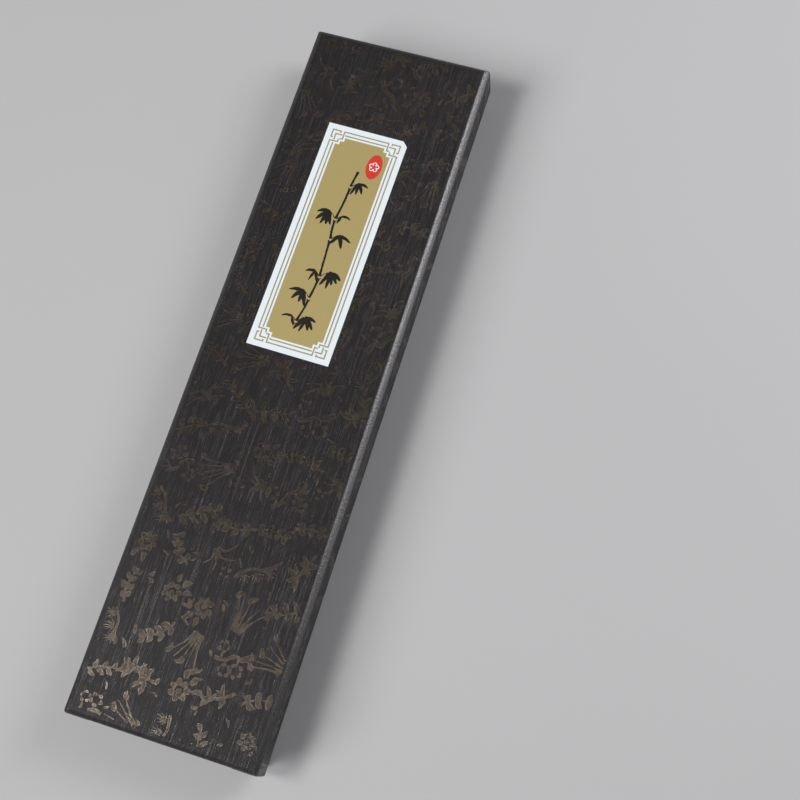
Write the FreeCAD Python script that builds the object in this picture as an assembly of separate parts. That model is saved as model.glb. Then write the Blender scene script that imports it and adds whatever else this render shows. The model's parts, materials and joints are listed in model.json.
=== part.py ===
import FreeCAD, Part
import os

# A rigid paper-wrapped presentation box that holds a pair of calligraphy brushes.
# A lift-off lid slips over a deeper tray, so a strip of the tray shows under the lid.
# The tray holds a satin-covered foam bed with a groove for each brush.
# Millimetres. +Z is up and +Y points to the end where the brushes' tails lie.
# The origin is at the centre of the box's underside, on the surface it stands on.

V = FreeCAD.Vector

# --- Box: driving dimensions ---------------------------------------------------------
box_length = 330.0
box_width = 85.0
box_height = 29.5          # without the label
lid_depth = 19.0           # outside, from the lid's top to its rim
board = 1.8                # grey board
paper = 0.2                # wrapping and lining paper
tape = 0.1                 # corner stay tape
slip = 0.35                # gap between lid and tray on each side
lid_gap = 0.1              # between the tray's rim and the lid's lining
lid_fold = 2.9             # radius of the folds round the lid's top
tray_fold = 1.2            # radius of the folds round the tray's bottom
corner_radius = 0.8        # upright corners, where the paper is folded
stay_leg = 12.0            # how far a corner stay reaches along each wall
tray_turn_in = 12.0        # paper turned in over the tray's rim
tray_turn_under = 14.0     # paper turned under the tray's bottom
bottom_sheet = 0.25        # sheet pasted over the turned-under paper
bottom_sheet_inset = 2.0

# --- Label -------------------------------------------------------------------------------
label_width = 38.4
label_length = 112.8
label_thickness = 0.12
label_clipped_corner = 2.4
label_centre_x = -2.85
label_centre_y = 62.5
label_skew = -0.7          # degrees about +Z, as a label pasted by hand sits

# --- Bed -----------------------------------------------------------------------------------
bed_card = 1.0
bed_gap = 0.15             # between the bed and the tray's lining
bed_top = 20.65
satin = 0.35
groove_end_wall = 3.0
groove_clearance = 0.45
groove_step = -19.5        # where the grooves turn from wide to narrow, just behind the ferrules

# --- Brushes: what every brush shares, and then each brush's own values ----------------------
thread_turns = 4
cap_slip = 0.08            # running clearance between a cap and its ferrule
cap_tip_gap = 2.0          # between the hair's tip and the inside of the cap
vent_share = 0.15          # the cap's vent hole, as a share of its outer radius
ring_proud = 0.3           # how far a ring stands out from the handle
eyelet_share = 0.16        # the hanging hole, as a share of the handle's radius

# tail_y is where the brush's tail lies; it points towards -Y from there.
brushes = {
    "large": dict(
        x=-17.0, z=16.6, tail_y=153.5, finial_length=19.0, ring_length=1.5,
        handle_r=5.0, handle_length=156.0, tenon_r=2.6, tenon_length=10.0,
        ferrule_length=24.0, mouth_r=7.45, mouth_length=8.0, socket_r=6.2, socket_depth=13.0,
        plug_length=3.0, thread_r=0.3, hair_length=42.0, belly_r=6.75, core_r=3.6, cap_wall=0.9,
    ),
    "small": dict(
        x=18.0, z=17.2, tail_y=146.0, finial_length=15.0, ring_length=1.2,
        handle_r=3.6, handle_length=160.0, tenon_r=1.8, tenon_length=8.0,
        ferrule_length=18.0, mouth_r=4.9, mouth_length=6.5, socket_r=3.9, socket_depth=10.0,
        plug_length=2.4, thread_r=0.22, hair_length=28.0, belly_r=4.25, core_r=2.2, cap_wall=0.8,
    ),
}

# --- Values worked out from the above --------------------------------------------------------
lid_rim = box_height - lid_depth
lid_wall = 2 * paper + board
lid_ceiling = box_height - lid_wall
lid_inside_width = box_width - 2 * lid_wall
lid_inside_length = box_length - 2 * lid_wall
tray_width = lid_inside_width - 2 * slip
tray_length = lid_inside_length - 2 * slip
tray_rim = lid_ceiling - lid_gap
tray_inside_width = tray_width - 2 * lid_wall
tray_inside_length = tray_length - 2 * lid_wall
tray_floor = bottom_sheet + lid_wall
bed_width = tray_inside_width - 2 * bed_gap
bed_length = tray_inside_length - 2 * bed_gap
groove_end = bed_length / 2 - groove_end_wall


def save(name, shape):
    """Writes one node, after making sure that it holds only sound closed solids."""
    sound = [s.isValid() and s.isClosed() and s.Volume > 0 for s in shape.Solids]
    if not sound or not all(sound):
        raise ValueError(f"{name} has an unsound solid")
    shape.exportStep(f"parts/{name}.step")
    print(f"{name:22s} solids {len(sound):2d}  volume {shape.Volume:10.1f} mm3")


# --- Blocks that the box is cut from --------------------------------------------------------------
def block(width, length, low, high):
    """A square-edged block, centred on the Z axis."""
    return Part.makeBox(width, length, high - low, V(-width / 2, -length / 2, low))


def folded_block(width, length, low, high, fold, corner, fold_level):
    """A block with rounded uprights, whose edges at fold_level are rounded like folded paper."""
    shape = block(width, length, low, high)
    uprights = [e for e in shape.Edges if e.BoundBox.ZLength > (high - low) / 2]
    shape = shape.makeFillet(corner, uprights)
    folds = [e for e in shape.Edges
             if e.BoundBox.ZLength < tape and abs(e.BoundBox.ZMin - fold_level) < tape]
    return shape.makeFillet(fold, folds)


def corner_posts(width, length, low, high):
    """Four square posts round the corners of a box of this size."""
    posts = [Part.makeBox(2 * stay_leg, 2 * stay_leg, high - low,
                          V(side * width / 2 - stay_leg, end * length / 2 - stay_leg, low))
             for side in (-1, 1) for end in (-1, 1)]
    return Part.Compound(posts)


def corner_stays(board_shape, width, length, low, high):
    """Tape that holds the board's upright corners, let into the board's outer face."""
    inner = folded_block(width - 2 * tape, length - 2 * tape, low - board, high + board,
                         tape, corner_radius - paper - tape, high + board)
    skin = board_shape.cut(inner).common(corner_posts(width, length, low, high))
    return Part.Compound(skin.Solids)


def save_panels(box, flat, shell, inside_width, wall_low, wall_high):
    """Saves a board shell as the five panels it is glued up from: a flat one over the whole box,
    two sides along its whole length, and two ends between the sides."""
    walls = block(2 * box_width, 2 * box_length, wall_low, wall_high)
    between = block(inside_width + 2 * paper, 2 * box_length, wall_low, wall_high)
    save(f"{box}_{flat}_board", shell.cut(walls))
    for panel in shell.common(between).Solids:
        save(f"{box}_{'near' if panel.CenterOfMass.y < 0 else 'far'}_board", panel)
    for panel in shell.common(walls).cut(between).Solids:
        save(f"{box}_{'left' if panel.CenterOfMass.x < 0 else 'right'}_board", panel)


# --- Lid ----------------------------------------------------------------------------------------------
def make_lid():
    whole = folded_block(box_width, box_length, lid_rim, box_height, lid_fold, corner_radius, box_height)
    cavity = block(lid_inside_width, lid_inside_length, lid_rim - board, lid_ceiling)
    board_outside = folded_block(box_width - 2 * paper, box_length - 2 * paper, lid_rim + paper,
                                 box_height - paper, lid_fold - paper, corner_radius - paper,
                                 box_height - paper)
    board_cavity = block(lid_inside_width + 2 * paper, lid_inside_length + 2 * paper,
                         lid_rim - board, lid_ceiling + paper)
    lid_board = board_outside.cut(board_cavity)
    stays = corner_stays(lid_board, box_width - 2 * paper, box_length - 2 * paper,
                         lid_rim + board, box_height - lid_fold - board)
    liner = block(lid_inside_width, lid_inside_length, lid_ceiling, lid_ceiling + paper)
    wrap = whole.cut(cavity).cut(board_outside).fuse(turned_in_paper())
    save("lid_wrap", wrap.removeSplitter())
    save_panels("lid", "top", lid_board.cut(stays), lid_inside_width, lid_rim, lid_ceiling + paper)
    save("lid_corner_stays", stays)
    save("lid_liner", liner)


def turned_in_paper():
    """The lid's wrapping paper where it is turned in over the rim and up the inside of the walls."""
    outside = block(lid_inside_width + 2 * paper, lid_inside_length + 2 * paper,
                    lid_rim, lid_ceiling + paper)
    return outside.cut(block(lid_inside_width, lid_inside_length, lid_rim, lid_ceiling + paper))


def make_label():
    """A flat paper label with one clipped corner, pasted slightly off square."""
    x, y = label_width / 2, label_length / 2
    clip = label_clipped_corner
    outline = [V(-x, -y), V(x, -y), V(x, y - clip), V(x - clip, y), V(-x, y)]
    label = Part.Face(Part.makePolygon(outline + outline[:1])).extrude(V(0, 0, label_thickness))
    label.rotate(V(0, 0, 0), V(0, 0, 1), label_skew)
    label.translate(V(label_centre_x, label_centre_y, box_height))
    save("label", label)


# --- Tray -----------------------------------------------------------------------------------------------
def make_tray():
    low = bottom_sheet
    whole = folded_block(tray_width, tray_length, low, tray_rim, tray_fold, corner_radius, low)
    cavity = block(tray_inside_width, tray_inside_length, tray_floor, tray_rim + board)
    board_outside = folded_block(tray_width - 2 * paper, tray_length - 2 * paper, low + paper,
                                 tray_rim - paper, tray_fold - paper, corner_radius - paper, low + paper)
    board_cavity = block(tray_inside_width + 2 * paper, tray_inside_length + 2 * paper,
                         tray_floor - paper, tray_rim)
    tray_board = board_outside.cut(board_cavity)
    stays = corner_stays(tray_board, tray_width - 2 * paper, tray_length - 2 * paper,
                         low + 2 * board, tray_rim - board)
    lining_level = tray_rim - tray_turn_in
    lining = block(tray_inside_width + 2 * paper, tray_inside_length + 2 * paper,
                   tray_floor - paper, lining_level).cut(cavity)
    turn_in = block(tray_inside_width + 2 * paper, tray_inside_length + 2 * paper,
                    lining_level, tray_rim).cut(cavity)
    bare_bottom = block(tray_width - 2 * tray_turn_under, tray_length - 2 * tray_turn_under,
                        low, low + paper)
    wrap = whole.cut(board_outside).cut(board_cavity).cut(cavity).cut(bare_bottom).fuse(turn_in)
    save("tray_wrap", wrap.removeSplitter())
    save_panels("tray", "bottom", tray_board.cut(stays), tray_inside_width,
                tray_floor - paper, tray_rim)
    save("tray_corner_stays", stays)
    save("tray_lining", lining)
    save("tray_bottom_sheet", block(tray_width - 2 * bottom_sheet_inset,
                                    tray_length - 2 * bottom_sheet_inset, 0.0, low))


# --- Bed ------------------------------------------------------------------------------------------------
def brush_stations(brush):
    """Distances from the brush's tail to the start of each part, and to the tip of the hair."""
    lengths = ("finial_length", "ring_length", "handle_length", "ring_length", "ferrule_length",
               "hair_length")
    stations = [0.0]
    for name in lengths:
        stations.append(stations[-1] + brush[name])
    return stations


def groove(brush, spare):
    """The square-cut groove that a brush lies in: a wide half for ferrule and cap, and a narrow
    one for the handle. spare widens it all round, to leave room for the satin in the foam."""
    cap_r = brush["mouth_r"] + cap_slip + brush["cap_wall"]
    handle_r = brush["handle_r"] + 2 * ring_proud
    parts = []
    for radius, start, stop in ((cap_r, -groove_end - spare, groove_step + spare),
                                (handle_r, -groove_end, groove_end + spare)):
        radius += groove_clearance + spare
        corner = V(brush["x"] - radius, start, brush["z"] - radius)
        parts.append(Part.makeBox(2 * radius, stop - start, box_height, corner))
    return parts[0].fuse(parts[1])


def make_bed():
    card = block(bed_width - 2 * satin, bed_length - 2 * satin, tray_floor, tray_floor + bed_card)
    foam_block = block(bed_width - 2 * satin, bed_length - 2 * satin, tray_floor + bed_card,
                       bed_top - satin)
    cover_block = block(bed_width, bed_length, tray_floor, bed_top)
    foam = foam_block.cut([groove(b, satin) for b in brushes.values()])
    cover = cover_block.cut([groove(b, 0.0) for b in brushes.values()]).cut([foam, card])
    save("bed_card", card)
    save("foam_pad", foam)
    save("satin_cover", cover)


# --- Brushes --------------------------------------------------------------------------------------------
def turned(*pieces):
    """A solid turned about the brush's axis, which is -Y here. Each piece is a list of
    (distance from the tail, radius): two make a straight line and more make a smooth curve."""
    edges = []
    for piece in pieces:
        points = [V(0, -along, radius) for along, radius in piece]
        if len(points) == 2:
            edges.append(Part.makeLine(*points))
        else:
            curve = Part.BSplineCurve()
            curve.interpolate(points)
            edges.append(curve.toShape())
    profile = Part.Face(Part.Wire(edges))
    return profile.revolve(V(0, 0, 0), V(0, 1, 0), 360)


def rings_of(points):
    """Joins points into straight pieces, closed back to the first one."""
    return [list(pair) for pair in zip(points, points[1:] + points[:1])]


def sleeve(start, stop, inner, outer):
    """A plain turned tube."""
    return turned(*rings_of([(start, inner), (stop, inner), (stop, outer), (start, outer)]))


def make_finial(b, end):
    """Tail knob with a hanging hole across it, a slim neck and a tenon that goes into the handle."""
    r, length = b["handle_r"], b["finial_length"]
    curve = [(0, 0.34 * r), (0.10 * length, 0.58 * r), (0.20 * length, 0.64 * r),
             (0.34 * length, 0.44 * r), (0.50 * length, 0.52 * r), (0.72 * length, 0.92 * r),
             (0.82 * length, 1.02 * r)]
    finial = turned([(0, 0), curve[0]], curve, [curve[-1], (end, 1.02 * r)],
                    [(end, 1.02 * r), (end, b["tenon_r"])],
                    [(end, b["tenon_r"]), (end + b["ring_length"] + b["tenon_length"], b["tenon_r"])],
                    [(end + b["ring_length"] + b["tenon_length"], b["tenon_r"]),
                     (end + b["ring_length"] + b["tenon_length"], 0)],
                    [(end + b["ring_length"] + b["tenon_length"], 0), (0, 0)])
    hole = Part.makeCylinder(eyelet_share * r, 4 * r, V(-2 * r, -0.17 * length, 0), V(1, 0, 0))
    return finial.cut(hole)


def make_handle(b, start, end):
    """Wooden handle, bored at both ends for the finial's tenon and the ferrule's spigot."""
    r, deep = b["handle_r"], b["tenon_length"]
    swell = 1.03 * r
    handle = turned([(start, 0), (start, r)],
                    [(start, r), ((start + end) / 2, swell), (end, r)],
                    [(end, r), (end, 0)], [(end, 0), (start, 0)])
    bores = [Part.makeCylinder(b["tenon_r"], deep, V(0, -start, 0), V(0, -1, 0)),
             Part.makeCylinder(b["tenon_r"], deep, V(0, -end, 0), V(0, 1, 0))]
    return handle.cut(bores)


def make_ferrule(b, start, end):
    """Bell-shaped horn ferrule with a spigot behind and a socket for the hair in front."""
    r, mouth, socket = b["handle_r"] * 1.04, b["mouth_r"], b["socket_r"]
    back = start - b["ring_length"] - b["tenon_length"]
    lip = end - b["mouth_length"]
    span = lip - start
    bell = [(start, r), (start + 0.3 * span, r + 0.06 * (mouth - r)),
            (start + 0.65 * span, r + 0.5 * (mouth - r)), (start + 0.9 * span, r + 0.95 * (mouth - r)),
            (lip, mouth)]
    floor = end - b["socket_depth"]
    return turned([(back, 0), (back, b["tenon_r"])], [(back, b["tenon_r"]), (start, b["tenon_r"])],
                  [(start, b["tenon_r"]), (start, r)], bell, [(lip, mouth), (end, mouth)],
                  [(end, mouth), (end, socket)], [(end, socket), (floor, socket)],
                  [(floor, socket), (floor, 0)], [(floor, 0), (back, 0)])


def hair_outline(b, root, mouth, tip, scale):
    """Points along a pointed tuft, from its root in the ferrule past the belly to the tip."""
    length = tip - mouth
    return [(root, scale * b["socket_r"]), (mouth, scale * b["socket_r"]),
            (mouth + 0.18 * length, scale * 0.98 * b["belly_r"]),
            (mouth + 0.32 * length, scale * b["belly_r"]),
            (mouth + 0.55 * length, scale * 0.83 * b["belly_r"]),
            (mouth + 0.78 * length, scale * 0.47 * b["belly_r"]),
            (mouth + 0.93 * length, scale * 0.16 * b["belly_r"]), (tip, 0)]


def make_hair(b, mouth, tip):
    """The tuft: a core of longer springy hair, and a cover of soft hair round it, tied at the root."""
    root = mouth - b["socket_depth"] + b["plug_length"]
    shrink = 0.97                # leaves the root just clear of the socket's wall
    outer = hair_outline(b, root, mouth, tip, shrink)
    core_share = b["core_r"] / b["belly_r"]
    core_points = [(s, r * core_share) for s, r in outer[:-1]] + [(tip - b["cap_wall"], 0)]
    whole = turned([(root, 0), outer[0]], outer[:2], outer[1:], [outer[-1], (root, 0)])
    core = turned([(root, 0), core_points[0]], core_points[:2], core_points[1:],
                  [core_points[-1], (root, 0)])
    cover = whole.cut(core)
    thread_path = shrink * b["socket_r"]
    threads = [Part.makeTorus(thread_path, b["thread_r"], V(0, -root - (2.1 * turn + 1.5) * b["thread_r"], 0),
                              V(0, 1, 0)) for turn in range(thread_turns)]
    inside = Part.makeCylinder(b["socket_r"], tip - root, V(0, -root, 0), V(0, -1, 0))
    binding = threads[0].multiFuse(threads[1:]).common(inside)
    return core, cover.cut(binding), Part.Compound(binding.Solids)


def make_cap(b, mouth, tip):
    """Clear cap that slides over the ferrule's lip and covers the hair, with a vent in its end."""
    inner = b["mouth_r"] + cap_slip
    outer = inner + b["cap_wall"]
    start = mouth - b["mouth_length"] + 1
    inner_end, end = tip + cap_tip_gap, tip + cap_tip_gap + b["cap_wall"]
    round_off = 0.55 * outer
    cap = turned([(start, inner), (inner_end - round_off, inner)],
                 [(inner_end - round_off, inner), (inner_end - 0.35 * round_off, 0.86 * inner),
                  (inner_end, 0.45 * inner)],
                 [(inner_end, 0.45 * inner), (inner_end, 0)], [(inner_end, 0), (end, 0)],
                 [(end, 0), (end, 0.45 * outer)],
                 [(end, 0.45 * outer), (end - 0.35 * round_off, 0.87 * outer), (end - round_off, outer)],
                 [(end - round_off, outer), (start, outer)], [(start, outer), (start, inner)])
    vent = Part.makeCylinder(vent_share * outer, 4 * b["cap_wall"],
                             V(0, -end - b["cap_wall"], 0), V(0, 1, 0))
    return cap.cut(vent)


def make_brush(name, b):
    tail, finial_end, handle_start, handle_end, ferrule_start, mouth, tip = brush_stations(b)
    core, cover, binding = make_hair(b, mouth, tip)
    ring_r = b["handle_r"] + ring_proud
    plug_start = mouth - b["socket_depth"]
    parts = {
        "finial": make_finial(b, finial_end),
        "tail_ring": sleeve(finial_end, handle_start, b["tenon_r"], ring_r),
        "handle": make_handle(b, handle_start, handle_end),
        "neck_ring": sleeve(handle_end, ferrule_start, b["tenon_r"], ring_r),
        "ferrule": make_ferrule(b, ferrule_start, mouth),
        "rosin_plug": Part.makeCylinder(b["socket_r"], b["plug_length"], V(0, -plug_start, 0), V(0, -1, 0)),
        "hair_core": core,
        "hair_cover": cover,
        "root_thread": binding,
        "cap": make_cap(b, mouth, tip),
    }
    place = V(b["x"], b["tail_y"] - tail, b["z"])
    for part, shape in parts.items():
        shape.translate(place)
        save(f"{name}_{part}", shape)
    cap_end = b["tail_y"] - tip - cap_tip_gap - b["cap_wall"]
    print(f"{name}: mouth y {b['tail_y'] - mouth:.1f}, tip y {b['tail_y'] - tip:.1f}, "
          f"cap end y {cap_end:.1f}, room for the cap {groove_end + cap_end:.1f}, "
          f"cap comes off in {b['hair_length'] + b['mouth_length'] - 1:.1f}")


os.makedirs("parts", exist_ok=True)
print(f"tray {tray_width:.2f} x {tray_length:.2f}, rim {tray_rim:.2f}, floor {tray_floor:.2f}, "
      f"bed {bed_width:.2f} x {bed_length:.2f}, groove end {groove_end:.2f}")
make_lid()
make_label()
make_tray()
make_bed()
for brush_name, brush_values in brushes.items():
    make_brush(brush_name, brush_values)
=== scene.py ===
import json
import math
import random

import bpy
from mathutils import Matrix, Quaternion, Vector, noise


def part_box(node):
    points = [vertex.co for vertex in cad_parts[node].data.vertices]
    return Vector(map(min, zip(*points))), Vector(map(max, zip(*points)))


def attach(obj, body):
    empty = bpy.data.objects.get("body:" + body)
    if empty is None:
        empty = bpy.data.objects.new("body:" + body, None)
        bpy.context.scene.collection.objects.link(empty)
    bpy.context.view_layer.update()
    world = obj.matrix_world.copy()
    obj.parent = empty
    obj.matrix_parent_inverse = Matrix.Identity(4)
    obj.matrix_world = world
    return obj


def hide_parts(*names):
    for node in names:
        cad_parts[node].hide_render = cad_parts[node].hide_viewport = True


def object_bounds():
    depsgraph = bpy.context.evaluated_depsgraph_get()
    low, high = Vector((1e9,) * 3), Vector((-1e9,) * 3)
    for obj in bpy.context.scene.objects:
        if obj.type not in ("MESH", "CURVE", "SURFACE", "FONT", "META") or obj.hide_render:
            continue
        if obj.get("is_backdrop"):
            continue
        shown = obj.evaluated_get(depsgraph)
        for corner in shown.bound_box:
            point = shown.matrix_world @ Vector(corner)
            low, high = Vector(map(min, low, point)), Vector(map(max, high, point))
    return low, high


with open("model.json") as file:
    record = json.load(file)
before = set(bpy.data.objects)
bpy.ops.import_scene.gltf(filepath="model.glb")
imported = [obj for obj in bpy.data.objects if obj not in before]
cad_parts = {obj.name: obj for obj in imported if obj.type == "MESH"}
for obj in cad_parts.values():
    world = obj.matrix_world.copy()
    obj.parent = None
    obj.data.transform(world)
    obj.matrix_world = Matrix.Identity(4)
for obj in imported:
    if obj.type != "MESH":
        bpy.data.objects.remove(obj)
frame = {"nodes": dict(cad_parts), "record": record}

cad_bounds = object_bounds()

# A closed, paper-wrapped presentation box for a pair of calligraphy brushes.
# The CAD nodes keep their shapes and get procedural materials. Print, label art, paper
# tucks, cloth, foam and hair are built here. Drawing is done in millimetres.
MM = 0.001
SEED = 460

# --- Places read from the frame, in millimetres
def box_mm(node):
    low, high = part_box(node)
    return low / MM, high / MM


lid_low, lid_high = box_mm("lid_wrap")
tray_low, tray_high = box_mm("tray_wrap")
_, label_high = box_mm("label")
LID_FOLD = 2.9
TRAY_FOLD = 1.2
CORNER = 0.8

# --- Colours, linear
PAPER_DARK = (0.0185, 0.0168, 0.0174, 1)
PAPER_LIGHT = (0.0300, 0.0270, 0.0280, 1)
GLINT = (0.29, 0.275, 0.278, 1)
# Light metallic burnish for the folds, which paints a highlight there
BURNISHED_HIGHLIGHT = (0.54, 0.53, 0.54, 1)
BRONZE = (0.116, 0.094, 0.078, 1)
BRONZE_DEEP = (0.058, 0.044, 0.034, 1)
BRONZE_RIM = (0.195, 0.166, 0.140, 1)
LABEL_WHITE = (0.86, 0.94, 0.985, 1)
LABEL_GOLD = (0.50, 0.40, 0.162, 1)
LINE_GOLD = (0.42, 0.36, 0.20, 1)
INK_BLACK = (0.012, 0.011, 0.010, 1)
SEAL_RED = (0.74, 0.045, 0.028, 1)


# --- Materials
class Shader:
    """A node material with a Principled shader, and short ways to add what feeds it."""

    def __init__(self, name, **sockets):
        self.material = bpy.data.materials.new(name)
        self.material.use_nodes = True
        self.tree = self.material.node_tree
        self.bsdf = self.tree.nodes["Principled BSDF"]
        for socket, value in sockets.items():
            self.bsdf.inputs[socket.replace("_", " ")].default_value = value

    def node(self, kind, settings=None, **inputs):
        made = self.tree.nodes.new(kind)
        for key, value in (settings or {}).items():
            setattr(made, key, value)
        for key, value in inputs.items():
            self.feed(made.inputs[key.replace("_", " ")], value)
        return made

    def feed(self, socket, value):
        if isinstance(value, bpy.types.NodeSocket):
            self.tree.links.new(value, socket)
        else:
            socket.default_value = value

    def maths(self, operation, *values):
        made = self.tree.nodes.new("ShaderNodeMath")
        made.operation = operation
        for socket, value in zip(made.inputs, values):
            self.feed(socket, value)
        return made.outputs[0]

    def place(self):
        """The point on the piece, in its own frame, in metres."""
        return self.node("ShaderNodeTexCoord").outputs["Object"]

    def place_mm(self, along=1.0):
        """The same point in millimetres, with its share of the length along Y."""
        return self.scaled(self.place(), (1 / MM, along / MM, 1 / MM))

    def normal(self):
        return self.node("ShaderNodeNewGeometry").outputs["Normal"]

    def split(self, vector):
        return self.node("ShaderNodeSeparateXYZ", Vector=vector).outputs

    def scaled(self, vector, scale):
        made = self.tree.nodes.new("ShaderNodeVectorMath")
        made.operation = "MULTIPLY"
        self.feed(made.inputs[0], vector)
        self.feed(made.inputs[1], scale)
        return made.outputs[0]

    def noise(self, vector, scale, detail=3.0, rough=0.55, distortion=0.0):
        return self.node("ShaderNodeTexNoise", Vector=vector, Scale=scale, Detail=detail,
                         Roughness=rough, Distortion=distortion).outputs["Fac"]

    def wave(self, vector, direction, scale, distortion, detail=2.0):
        return self.node("ShaderNodeTexWave", {"bands_direction": direction}, Vector=vector, Scale=scale,
                         Distortion=distortion, Detail=detail).outputs["Fac"]

    def ramp(self, factor, *stops):
        """Colour or grey along a factor; each stop is (place, colour or grey)."""
        made = self.node("ShaderNodeValToRGB", Fac=factor)
        elements = made.color_ramp.elements
        while len(elements) < len(stops):
            elements.new(0.5)
        for element, (place, colour) in zip(elements, stops):
            element.position = place
            element.color = colour if isinstance(colour, tuple) else (colour, colour, colour, 1)
        return made.outputs["Color"]

    def mix(self, factor, first, second):
        made = self.node("ShaderNodeMix", {"data_type": "RGBA"})
        self.feed(made.inputs["Factor"], factor)
        self.feed(made.inputs[6], first)
        self.feed(made.inputs[7], second)
        return made.outputs[2]

    def attribute(self, name):
        return self.node("ShaderNodeAttribute", {"attribute_name": name}).outputs["Fac"]

    def colour(self, value):
        self.feed(self.bsdf.inputs["Base Color"], value)

    def roughness(self, value):
        self.feed(self.bsdf.inputs["Roughness"], value)

    def bump(self, height, depth, strength=1.0):
        """Relief: height from 0 to 1 stands for depth metres."""
        made = self.node("ShaderNodeBump", Height=height, Distance=depth, Strength=strength)
        below = self.bsdf.inputs["Normal"]
        if below.is_linked:
            self.feed(made.inputs["Normal"], below.links[0].from_socket)
        self.tree.links.new(made.outputs["Normal"], below)


def unfolded(s, top):
    """Place on the wrapping sheet before it was folded: across and along, in millimetres."""
    x, y, z = s.split(s.place_mm())
    nx, ny, _ = s.split(s.normal())
    drop = s.maths("SUBTRACT", top, z)
    places = []
    for own, other_normal in ((x, ny), (y, nx)):
        facing = s.maths("LESS_THAN", s.maths("ABSOLUTE", other_normal), 0.7)
        fold = s.maths("MULTIPLY", s.maths("MULTIPLY", s.maths("SIGN", own), drop), facing)
        places.append(s.maths("ADD", own, fold))
    return places


def embossed_grain(s, top):
    """The grain pressed into the wrapping paper: short ridges, long ridges and loose fibre."""
    across, along = unfolded(s, top)

    def drawn_out(share):
        return s.node("ShaderNodeCombineXYZ", X=across, Y=s.maths("MULTIPLY", along, share)).outputs[0]

    flat_place = drawn_out(1.0)
    ridges = s.ramp(s.noise(drawn_out(0.04), 2.8, 2, 0.6), (0.49, 0.0), (0.63, 1.0))
    long_ridges = s.ramp(s.noise(drawn_out(0.006), 2.3, 2, 0.6), (0.53, 0.0), (0.61, 1.0))
    fibre = s.noise(flat_place, 2.2, 3, 0.65)
    broken = s.ramp(fibre, (0.38, 0.3), (0.62, 1.0))
    grain = s.maths("MULTIPLY", s.maths("MAXIMUM", ridges, long_ridges), broken)
    s.bump(grain, 0.00006, 0.8)
    s.bump(fibre, 0.00006, 0.5)
    return flat_place, grain


def fold_wear_and_highlight(s, along):
    """Speckled burnish on the rounded folds, which also carries a painted highlight: strong on the +X fold,
    where the edge light's highlight falls, and fading towards the near end as that highlight does. Faint on
    the others."""
    nx, _, nz = s.split(s.normal())
    slope = s.maths("ABSOLUTE", nz)
    off_wall, off_top = s.ramp(slope, (0.05, 0.0), (0.30, 1.0)), s.ramp(slope, (0.965, 1.0), (0.998, 0.0))
    fold = s.maths("MULTIPLY", off_wall, off_top)
    from_near = s.maths("ADD", s.maths("MULTIPLY", along, 0.5 / lid_half.y), 0.5)
    # Painted highlight: the burnish fades towards the near end, as the fold's highlight does
    highlight_fade = s.ramp(from_near, (0.0, 0.12), (0.12, 0.26), (0.30, 0.68), (0.70, 1.0), (1.0, 0.9))
    return s.maths("MULTIPLY", s.maths("MULTIPLY", fold, highlight_fade), s.ramp(nx, (0.02, 0.12), (0.10, 1.0)))


def wrapping_paper(name, top):
    """Dark coated paper with an embossed grain that runs along the box, burnished on its folds, with a
    highlight painted on the +X fold.
    """
    s = Shader(name, Specular_IOR_Level=0.18)
    flat_place, grain = embossed_grain(s, top)
    cloud = s.noise(flat_place, 0.035, 3, 0.5)
    tone = s.maths("ADD", s.maths("MULTIPLY", grain, 0.62), s.maths("MULTIPLY", cloud, 0.16))
    glint = s.maths("MULTIPLY", s.ramp(grain, (0.35, 0.0), (0.90, 1.0)), 0.31)
    bright = s.ramp(glint, (0.0, 0.0), (0.05, 0.45), (0.15, 0.73), (0.31, 0.88))
    coat = s.mix(glint, s.mix(tone, PAPER_DARK, PAPER_LIGHT), GLINT)
    speckle = s.ramp(s.noise(flat_place, 1.6, 4, 0.75), (0.46, 0.12), (0.56, 1.0))
    along = s.split(flat_place)[1]
    # Burnish mask: speckled wear on the folds, carrying a painted highlight on the +X fold
    worn = s.maths("MULTIPLY", fold_wear_and_highlight(s, along), speckle)
    s.colour(s.mix(worn, coat, BURNISHED_HIGHLIGHT))
    s.feed(s.bsdf.inputs["Metallic"], s.maths("MAXIMUM", s.maths("MULTIPLY", worn, 0.85), bright))
    s.roughness(s.mix(worn, s.ramp(grain, (0.0, 0.42), (1.0, 0.24)), (0.40, 0.40, 0.40, 1)))
    return s.material


def bronze_ink(name, top):
    """The bronze print: a warm, half metallic film that takes the paper's grain."""
    s = Shader(name, Roughness=0.26, Metallic=0.74, Specular_IOR_Level=0.30)
    flat_place, grain = embossed_grain(s, top)
    blotch = s.ramp(s.noise(flat_place, 0.28, 4, 0.65), (0.35, 0.0), (0.62, 1.0))
    film = s.mix(s.maths("MULTIPLY", s.maths("ADD", blotch, grain), 0.5), BRONZE_DEEP, BRONZE)
    outlined = s.ramp(s.maths("MULTIPLY", s.attribute("rim"), 0.5),
                      (0.0, (0, 0, 0, 1)), (0.45, (1, 1, 1, 1)), (0.6, (1, 1, 1, 1)), (0.9, (0, 0, 0, 1)))
    gap = s.ramp(s.maths("MULTIPLY", s.attribute("rim"), 0.5), (0.62, 0.0), (0.92, 1.0))
    worn = s.ramp(s.noise(flat_place, 0.75, 5, 0.75), (0.36, 0.0), (0.50, 1.0))
    bare = s.mix(grain, PAPER_DARK, PAPER_LIGHT)
    inked = s.mix(gap, s.mix(s.maths("MULTIPLY", outlined, 0.8), film, BRONZE_RIM), PAPER_DARK)
    s.colour(s.mix(worn, bare, inked))
    return s.material


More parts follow.
